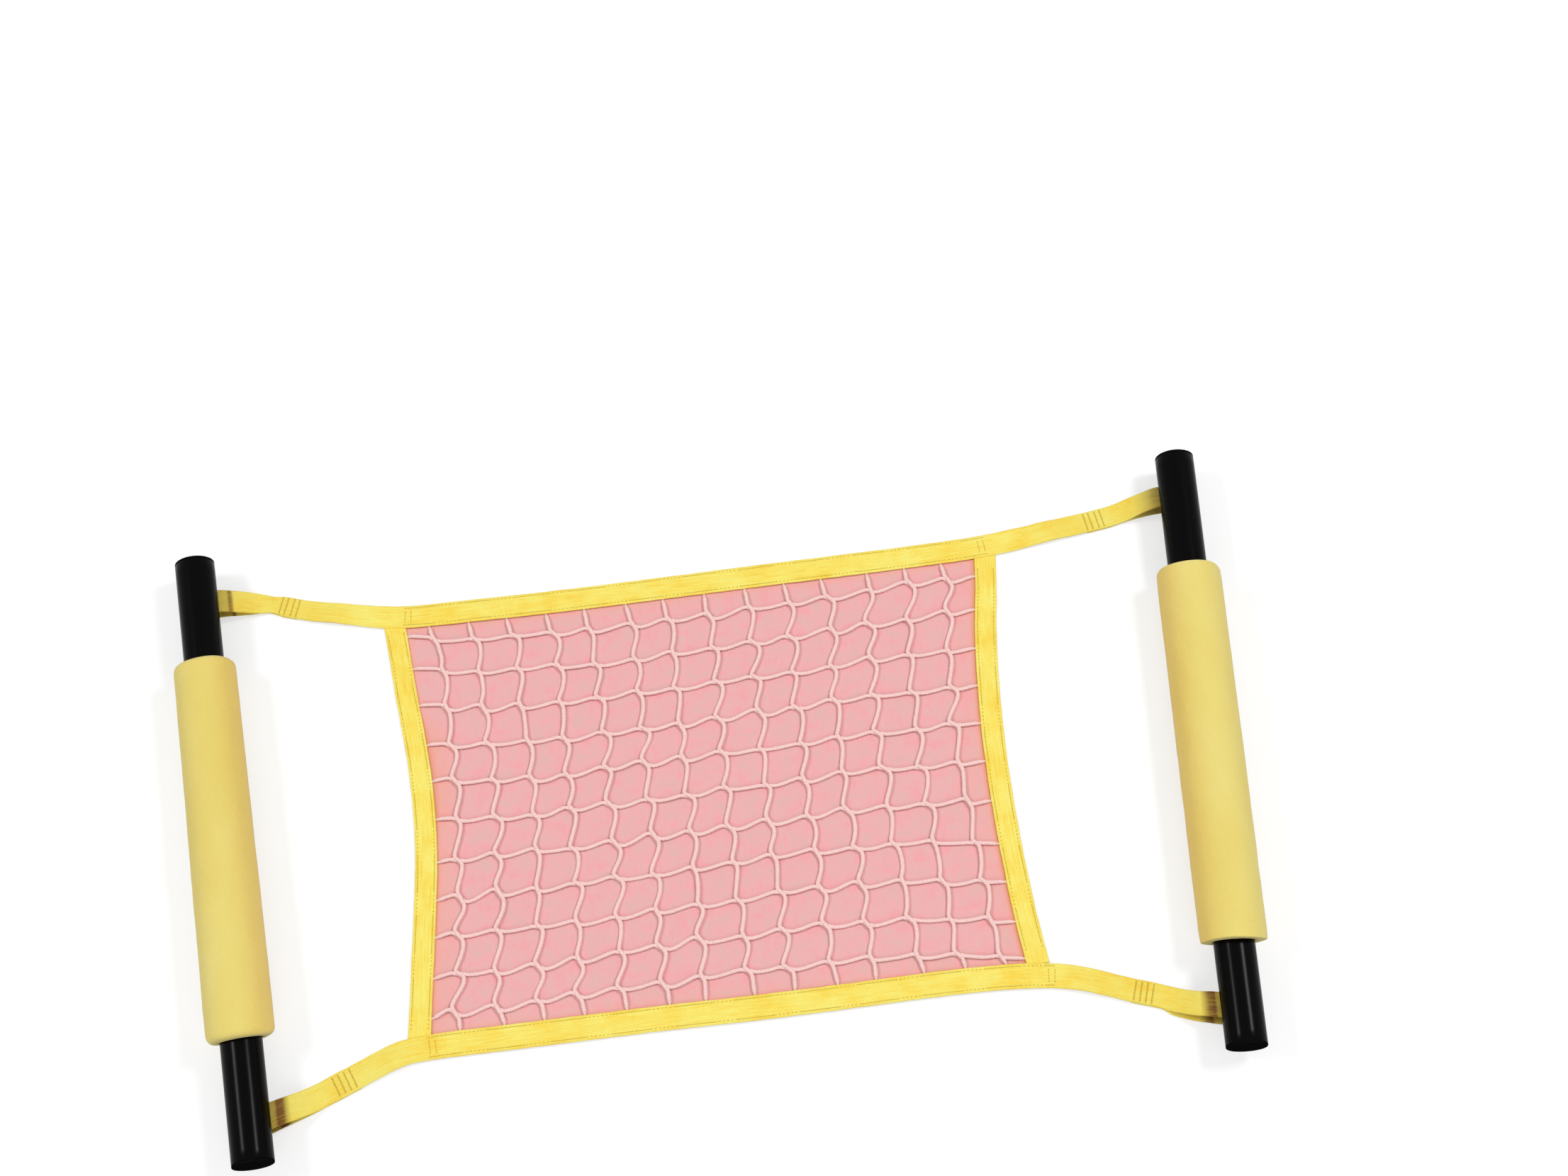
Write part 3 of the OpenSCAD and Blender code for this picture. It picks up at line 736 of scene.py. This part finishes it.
def make_side(side):
    """A side border with its stitches; returns its plan."""
    plan = spline(SIDE_LINES[side], STEP)
    tangent = unit(np.gradient(plan, axis=0))
    across = np.column_stack([-tangent[:, 1], tangent[:, 0]])
    height = SIDE_MIDDLE + 0.2 * wobble(lifted(plan), 28.0, 9.0 + side)
    band = Band(lifted(plan, height), lifted(across), SIDE_WIDTHS[side], 20 + side)
    name = "left" if side < 0 else "right"
    strip = band.piece(f"{name}_border_webbing", 0, len(plan) - 1, ends=True)
    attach(strip, "net")
    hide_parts(f"{name}_border")
    between_long_borders = np.abs(plan[:, 1] - 12) < 167
    starts = [k * SEAM_PITCH for k in range(3, int(band.run[-1] / SEAM_PITCH) - 3)]
    starts = [start for start in starts if between_long_borders[np.searchsorted(band.run, start)]]
    for across in (-6.6, 6.6):
        sew_along(stitches, band, across, starts, len(plan) - 1)
    return plan


stitches, seam_threads = Parts(), Parts()
BANDS = {name: build_run(run) for name, run in RUNS.items()}
for name, run in RUNS.items():
    make_run(name, run)
SIDE_PATHS = {side: make_side(side) for side in SIDE_LINES}

for parts, name, node in ((stitches, "border_stitches", "border_stitching"),
                          (seam_threads, "seam_stitches", "strap_seams")):
    piece = parts.make(name)
    piece.data.materials.append(THREAD)
    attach(piece, "net")
    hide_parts(node)

# ---- Backing cloth ----


def side_x(side, y):
    line = SIDE_PATHS[side][::-1]
    return np.interp(y, line[:, 1], line[:, 0])


def border_y(name, x):
    near, far = net_fold_rings(name)
    line = BANDS[name][0].centres[near - 20:far + 20]
    return np.interp(x, line[:, 0], line[:, 1])


def inside_borders(points):
    """How far points are inside the left border, the right one and the nearer long one."""
    x, y = points[:, 0], points[:, 1]
    left, right = x - side_x(-1, y) - SIDE_WIDTHS[-1] / 2, side_x(1, y) - SIDE_WIDTHS[1] / 2 - x
    half = BORDER_WIDTH / 2
    return left, right, np.minimum(border_y("top", x) - half - y, y - border_y("bottom", x) - half)


def border_tint_and_painted_shadow(points):
    """How orange the cloth is beside the borders: a broad tint, and a narrow line that is painted shadow of
    the borders.
    """
    left, right, ends = inside_borders(points)
    y = points[:, 1]
    upper_left = (0.55 + 0.45 * smoothstep(y, -10, 30)) * (1 - smoothstep(y, 75, 115))
    broad = (upper_left, left, 3, 26), (0.3, right, 3, 40), (0.25, ends, 2, 20)
    # The narrow line, at the borders' inner edges, is painted shadow of the raised borders.
    shadow_line = (0.8, left, 1, 5.3), (1.5, right, 1, 5.3), (0.5, ends, 1, 5.3)
    return 0.5 * sum(np.max([share * (1 - smoothstep(inside, a, b)) for share, inside, a, b in line], axis=0)
                     for line in (broad, shadow_line))


def make_backing():
    columns, rows, tuck = 121, 91, 6
    a = np.tile(np.arange(columns) / (columns - 1), rows)
    b = np.repeat(np.arange(rows) / (rows - 1), columns)
    x = -245 + 480 * a
    for _ in range(3):  # x and y depend on each other, because no border is straight
        low, high = border_y("bottom", x) - tuck, border_y("top", x) + tuck
        y = low + (high - low) * b
        left, right = side_x(-1, y) - tuck, side_x(1, y) + tuck
        x = left + (right - left) * a
    verts = np.column_stack([x, y, np.zeros(len(x))])
    free = np.clip(12 * np.minimum(np.minimum(a, 1 - a), np.minimum(b, 1 - b)), 0, 1)
    ripple = wobble(verts, 34.0, 1.7) + 0.5 * wobble(verts, 13.0, 4.2)
    puckers = 0.35 * np.exp(-np.minimum(b, 1 - b) * 22) * np.sin(x / 5.2)
    verts[:, 2] = 0.55 + free * (0.38 + 0.38 * ripple) + free * puckers
    faces = [[j * columns + i, j * columns + i + 1, (j + 1) * columns + i + 1, (j + 1) * columns + i]
             for j in range(rows - 1) for i in range(columns - 1)]
    cloth = make_mesh("backing_cloth", verts, faces, verts[:, :2], tint_and_painted_shade=border_tint_and_painted_shadow(verts))
    thick = cloth.modifiers.new("thick", "SOLIDIFY")
    thick.thickness, thick.offset = 0.0005, -1
    cloth.data.materials.append(BACKING)
    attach(cloth, "net")
    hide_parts("backing")
    quads = verts.reshape(rows, columns, 3)[:, :, :2]
    x, y = np.vstack([quads[0], quads[:, -1], quads[-1][::-1], quads[:, 0][::-1]]).T


make_backing()

# ---- Netting ----

COLUMNS, ROWS = 14, 11
UPRIGHT_RADIUS, CROSS_RADIUS, CORD_SIDES = 1.52, 1.38, 10
CORD_HEIGHT = 2.8
TOP_END, SIDE_END = 1.7, 1.4  # heights of the cords' ends under the long and the side borders
SWAP = 0.85  # how far cords move aside, and up or down, where two swap sides


def joint_centre(c, r):
    """The netting's joints lie on a grid that the borders pull out at its corners."""
    p, q = (c - 6.5) / 6.5, (r - 5) / 5
    x = -9.4 + 205.4 * p - 0.9 * q - 0.8 * p * q + 2.1 * p * p + 10.3 * p * q * q - 2.4 * p ** 3 - q ** 3
    y = 8.4 + 5.7 * p - 154.3 * q - 1.7 * p * q + 1.7 * q * q - 8.7 * p * p * q - 6.2 * p ** 3 + 3.3 * q ** 3
    return np.array([x + 1.6 * chance(c, r, 1), y + 1.5 * chance(c, r, 2)])


def joint(c, r):
    """The upper left end and the lower right end of a joint."""
    along = heading(-36 + 20 * chance(c, r, 3)) * (3.4 + 1.2 * chance(c, r, 4))
    centre = joint_centre(c, r)
    return centre - along, centre + along


def twist(c, r, sign):
    """A cord's points through a joint, where it swaps sides with the other cord."""
    start, end = joint(c, r)
    x, y = unit(end - start)
    t = np.linspace(0, 1, 7)
    flat = start + np.outer(t, end - start) + np.outer(np.cos(t * math.pi) * SWAP * sign, (-y, x))
    return lifted(flat, CORD_HEIGHT + sign * SWAP * np.sin(t * math.pi))


def between(a, b, lean_out, lean_in, reach, sag=0):
    """A cord's points from a to b, which it leaves and meets in those directions."""
    t = np.linspace(0, 1, 12)[1:-1]
    flat = bezier(a, a + np.asarray(lean_out) * reach, b - np.asarray(lean_in) * reach, b, t)
    return lifted(flat, CORD_HEIGHT - sag * np.sin(t * math.pi))


def upright(c):
    """An upright cord's points, from under the top border to under the bottom one."""
    first, last = joint(c, 0)[0], joint(c, ROWS - 1)[1]
    x = first[0] - 1.6 + 1.6 * chance(c, 30)
    top = np.array([x, border_y("top", x) - 7.5])
    x = last[0] + 0.8 + 1.6 * chance(c, 31)
    low = np.array([x, border_y("bottom", x) + 7.5])
    path = [[[*top, TOP_END]], between(top, first, (0.1, -1), (-0.1, -1), 5)[2:], twist(c, 0, 1)]
    for r in range(ROWS - 1):
        path.append(between(joint(c, r)[1], joint(c, r + 1)[0], (0.16 + 0.2 * chance(c, r, 5), -1),
                            (-0.26 + 0.3 * chance(c, r, 6), -1), 9.5, 0.5 + 0.5 * chance(c, r, 7)))
        path.append(twist(c, r + 1, 1))
    return np.vstack(path + [between(last, low, (0.1, -1), (0, -1), 5)[:-2], [[*low, TOP_END]]])


def cross_cord(r):
    """A cross cord's points, from under the left border to under the right one."""
    q = (r - 5) / 5
    y = joint_centre(0, r)[1] + 1.5 - 4 * q + chance(r, 40)
    left = np.array([side_x(-1, y) + 7.0, y])
    y = joint_centre(COLUMNS - 1, r)[1] - 1 - 3.5 * q + chance(r, 41)
    right = np.array([side_x(1, y) - 7.0, y])
    path = [[[*left, SIDE_END]], between(left, joint(0, r)[0], (1, 0), (1, -0.1), 5)[2:], twist(0, r, -1)]
    for c in range(COLUMNS - 1):
        path.append(between(joint(c, r)[1], joint(c + 1, r)[0], (1, -0.12 + 0.12 * chance(c, r, 8)),
                            (1, 0.14 + 0.14 * chance(c, r, 9)), 9, 0.3 + 0.4 * chance(c, r, 10)))
        path.append(twist(c + 1, r, -1))
    last = joint(COLUMNS - 1, r)[1]
    return np.vstack(path + [between(last, right, (1, 0), (1, 0), 5)[:-2], [[*right, SIDE_END]]])


def add_cord(parts, path, seed, radius):
    """A cord along a path, flattened a little; near the borders it dives under them and gets thinner."""
    path = softened(evenly(path, 1.1), 3)
    inside = np.maximum(np.min(inside_borders(path), axis=0), 0)
    path[:, 2] = np.minimum(path[:, 2], 1.15 + 0.32 * inside)
    tangents = unit(np.gradient(path, axis=0))
    side = unit(np.cross(tangents, [0, 0, 1.0]))
    up = np.cross(side, tangents)
    run = arc_length(path)
    n = len(path)
    bumps = wobble(np.column_stack([run, np.full(n, seed), np.zeros(n)]), 4.0, seed * 0.37)
    fat = radius * (1 + 0.09 * bumps) * (0.55 + 0.45 * smoothstep(inside, -0.5, 4))
    angles = np.radians(np.arange(CORD_SIDES) * 360 / CORD_SIDES)
    ring = np.cos(angles)[:, None] * side[:, None] * 1.12 + np.sin(angles)[:, None] * up[:, None] * 0.95
    verts = (path[:, None] + ring * fat[:, None, None]).reshape(-1, 3)
    around = (np.arange(CORD_SIDES) / CORD_SIDES - 0.25) * 2 * math.pi * radius
    uvs = np.stack(np.broadcast_arrays(run[:, None], around), 2).reshape(-1, 2)
    parts.add(verts, skin(n, CORD_SIDES, True), uvs)


cords = Parts()
for c in range(COLUMNS):
    add_cord(cords, upright(c), c + 1, UPRIGHT_RADIUS)
for r in range(ROWS):
    add_cord(cords, cross_cord(r), r + 21, CROSS_RADIUS)
netting = cords.make("netting_cords")
netting.data.materials.append(CORD)
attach(netting, "net")
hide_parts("netting")

# ---- Poles ----

# For each grip's top and bottom: shift is how far that end lies up the pole, rounding the radius of its edge,
# girth how full it is, and slant how far it leans out above the tube.
GRIPS = {
    -1: {"shift": (2.6, 0.4), "rounding": (5.0, 6.2), "girth": (0.98, 1.028), "slant": (-1.5, 4.0)},
    1: {"shift": (-11.0, -13.0), "rounding": (2.4, 1.1), "girth": (1.04, 1.03), "slant": (0.0, 3.4)},
}
# A plug's outline: radius and distance from the pole's middle.
PLUG_OUTLINE = [(0.01, 250.0), (11.0, 250.0), (15.3, 249.9), (15.8, 249.55), (15.95, 249.0), (15.95, 248.1),
                (13.3, 248.0), (13.3, 236), (11.4, 236), (11.4, 248), (0.01, 248)]


def turned(pole, name, profile, segments, shape=None):
    """A body turned about the pole's axis from a closed outline of radius and distance along the axis."""
    angles = np.linspace(0, 2 * math.pi, segments, endpoint=False)
    verts = np.array([(r * math.cos(a), y, r * math.sin(a)) for a in angles for r, y in profile])
    n = len(profile)
    around = np.repeat(angles, n)
    if shape is not None:
        verts = shape(verts, around)
    faces = []
    for i in range(segments):
        for j in range(n):
            k, m = (j + 1) % n, (i + 1) % segments
            face = [i * n + j, i * n + k, m * n + k, m * n + j]
            faces.append(face if pole.side > 0 else face[::-1])
    uvs = np.column_stack([verts[:, 1], around * TUBE_RADIUS])
    return make_mesh(name, pole.place(verts), faces, uvs)


def apply_modifiers(piece):
    bpy.context.view_layer.update()
    graph = bpy.context.evaluated_depsgraph_get()
    mesh = bpy.data.meshes.new_from_object(piece.evaluated_get(graph))
    piece.modifiers.clear()
    piece.data = mesh


def cut_slot(tube, pole, end, drop):
    """Cuts a slot with round ends into the tube's wall, at an angle below the level."""
    straight, r = (SLOT_LENGTH - SLOT_OPENING) / 2, SLOT_OPENING / 2
    outline = [(r * math.cos(a), cap * straight + r * math.sin(a)) for cap, start in ((1, 0), (-1, 180))
               for a in np.radians(np.linspace(start, start + 180, 13))]
    out, up = heading(-drop), heading(90 - drop)
    verts = [(*(depth * out + x * up), end * SLOT_DISTANCE + y) for depth in (8, 24) for x, y in outline]
    verts = pole.place(np.array(verts)[:, [0, 2, 1]])
    cutter = make_mesh(f"{pole.name}_cutter", verts, skin(2, len(outline), True), smooth=False)
    cut = tube.modifiers.new("slot", "BOOLEAN")
    cut.operation, cut.object, cut.solver = "DIFFERENCE", cutter, "EXACT"
    apply_modifiers(tube)
    bpy.data.objects.remove(cutter)


def make_tube(pole):
    r, bore, end = TUBE_RADIUS, BORE_RADIUS, TUBE_END
    ys = np.linspace(-end + 0.6, end - 0.6, 60)
    outline = [(r, y) for y in ys] + [(r - 0.18, end - 0.18), (r - 0.6, end), (bore, end)]
    outline += [(bore, y) for y in ys[::-4]] + [(bore, -end), (r - 0.6, -end), (r - 0.18, -end + 0.18)]
    tube = turned(pole, f"{pole.name}_tube_shell", outline, 112)
    for side in (-1, 1):
        for drop in (UPPER_DROP, LOWER_DROP):
            cut_slot(tube, pole, side, drop)
    edge = tube.modifiers.new("edge", "BEVEL")
    edge.width, edge.segments, edge.limit_method, edge.angle_limit = 0.0003, 2, "ANGLE", math.radians(35)
    apply_modifiers(tube)
    tube.data.polygons.foreach_set("use_smooth", [True] * len(tube.data.polygons))
    tube.data.set_sharp_from_angle(angle=math.radians(32))
    tube.data.materials.clear()
    tube.data.materials.append(TUBE)
    return tube


def make_plug(pole, end, word):
    outline = [(r, y * end) for r, y in PLUG_OUTLINE]
    plug = turned(pole, f"{pole.name}_{word}_end_plug", outline if end < 0 else outline[::-1], 96)
    plug.data.set_sharp_from_angle(angle=math.radians(40))
    plug.data.materials.append(PLUG)
    return plug


def make_grip(pole, shift, rounding, girth, slant):
    """A foam sleeve with slight dents; its measures are explained at GRIPS."""
    r, bore, h = GRIP_RADIUS, TUBE_RADIUS + 0.05, 155.0
    top, bottom = rounding
    angles = np.radians(np.linspace(0, 90, 7))
    outline = [(r - bottom + bottom * math.sin(a), -h + bottom - bottom * math.cos(a)) for a in angles]
    outline += [(r, y) for y in np.linspace(-h + bottom + 4, h - top - 4, 70)]
    outline += [(r - top + top * math.cos(a), h - top + top * math.sin(a)) for a in angles]
    outline += [(18.4, h), (bore + 0.6, h - 0.1), (bore, h - 0.9), (bore, h - 9), (bore, 0), (bore, -h + 9),
                (bore, -h + 0.9), (bore + 0.6, -h + 0.1), (18.4, -h)]

    def shape(verts, around):
        radius = np.hypot(verts[:, 0], verts[:, 2])
        outer = smoothstep(radius, 18, 24)
        along = verts[:, 1] / h
        upper, to_end = smoothstep(along, -1, 1), np.abs(along)
        dents = 0.22 * wobble(verts, 17.0, 3.0 + pole.side) + 0.12 * wobble(verts, 6.0, 7.0 + pole.side)
        grow = outer * (dents - 0.22 - 0.35 * smoothstep(to_end, 0.93, 1.0) * np.cos(around * 2 + 0.6))
        full = 1 + outer * (girth[1] - 1 + (girth[0] - girth[1]) * upper)
        out = verts.copy()
        out[:, [0, 2]] *= (full * (radius + grow) / radius)[:, None]
        out[:, 2] = np.maximum(out[:, 2], 0.1 - AXIS_HEIGHT)
        waves = 0.35 * smoothstep(to_end, 0.985, 1.0) * outer * np.sin(around * 3 + pole.side)
        lean = np.where(along > 0, slant[0], slant[1]) * smoothstep(to_end, 0.9, 1.0) * verts[:, 2] / r
        out[:, 1] += (waves + lean) * np.sign(along) + shift[1] + (shift[0] - shift[1]) * upper
        return out

    grip = turned(pole, f"{pole.name}_foam_grip", outline[::-1], 120, shape)
    grip.data.materials.append(foam_material(f"{pole.name}_foam", -pole.side))
    return grip


for side, pole in POLES.items():
    body = f"{pole.name}_pole"
    tube = make_tube(pole)
    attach(tube, body)
    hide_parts(f"{pole.name}_tube")
    for end, word in ((1, "top"), (-1, "bottom")):
        plug = make_plug(pole, end, word)
        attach(plug, body)
        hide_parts(f"{pole.name}_{word}_plug")
    grip = make_grip(pole, **GRIPS[side])
    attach(grip, body)
    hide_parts(f"{pole.name}_grip")

# ---- Stage and light ----


def make_stage():
    """A pale floor: white to the camera but for the part's shadow, grey to the rays that light the part."""
    mesh = bpy.data.meshes.new("floor")
    mesh.from_pydata([(-9, -9, 0), (9, -9, 0), (9, 9, 0), (-9, 9, 0)], [], [(0, 1, 2, 3)])
    floor = bpy.data.objects.new("floor", mesh)
    floor.location.z = -0.0004
    bpy.context.scene.collection.objects.link(floor)
    s = Shader("floor")
    seen = s.seen()
    grain = s.noise(s.coordinate("Object"), 3.0, 2)
    pale = s.mix(s.math("MULTIPLY", grain, 0.02), (1.0, 1.0, 1.0), (0.96, 0.96, 0.96))
    colour = s.mix(seen, (0.62, 0.62, 0.62), s.mix(0.55, pale, (0, 0, 0)))
    length = s.node("VectorMath", {0: s.coordinate("Object")}, operation="LENGTH").outputs["Value"]
    far = s.math("MULTIPLY", s.math("SUBTRACT", length, 1.4), 0.35, clamp=True)
    glow = s.math("ADD", s.math("MULTIPLY", far, 0.22), 0.6)
    mesh.materials.append(s.finish(colour, 1.0, Specular_IOR_Level=0.0, Emission_Color=(1, 1, 1, 1),
                                   Emission_Strength=s.math("MULTIPLY", seen, glow)))


def make_world():
    world = bpy.data.worlds.new("world")
    world.use_nodes = True
    s = Nodes(world.node_tree)
    level = s.node("MapRange", {"Value": s.seen(), "To Min": 0.41, "To Max": 1.0}).outputs[0]
    background = s.node("Background", {"Color": (1, 1, 1, 1), "Strength": level}).outputs[0]
    s.node("OutputWorld", {"Surface": background})
    bpy.context.scene.world = world


def area_light(name, place, size, power):
    """A rectangular lamp aimed at the net, its second side along Y where its aim allows."""
    data = bpy.data.lights.new(name, "AREA")
    data.shape = "RECTANGLE"
    data.size, data.size_y = size
    data.energy = power
    light = bpy.data.objects.new(name, data)
    back = Vector(place).normalized()
    side = Vector((0, 1, 0)).cross(back).normalized()
    turn = Matrix((side, back.cross(side), back)).transposed().to_4x4()
    light.matrix_world = Matrix.Translation(place) @ turn
    bpy.context.scene.collection.objects.link(light)


make_stage()
make_world()
area_light("right_lamp", (2.26, 0.58, 3.30), (0.7, 0.9), 61)
area_light("left_lamp", (-2.62, 0.58, 3.02), (0.7, 1.1), 48)
area_light("front_lamp", (0.0, -2.6, 2.5), (2.6, 1.8), 25)

bpy.context.scene.view_settings.view_transform = "Standard"
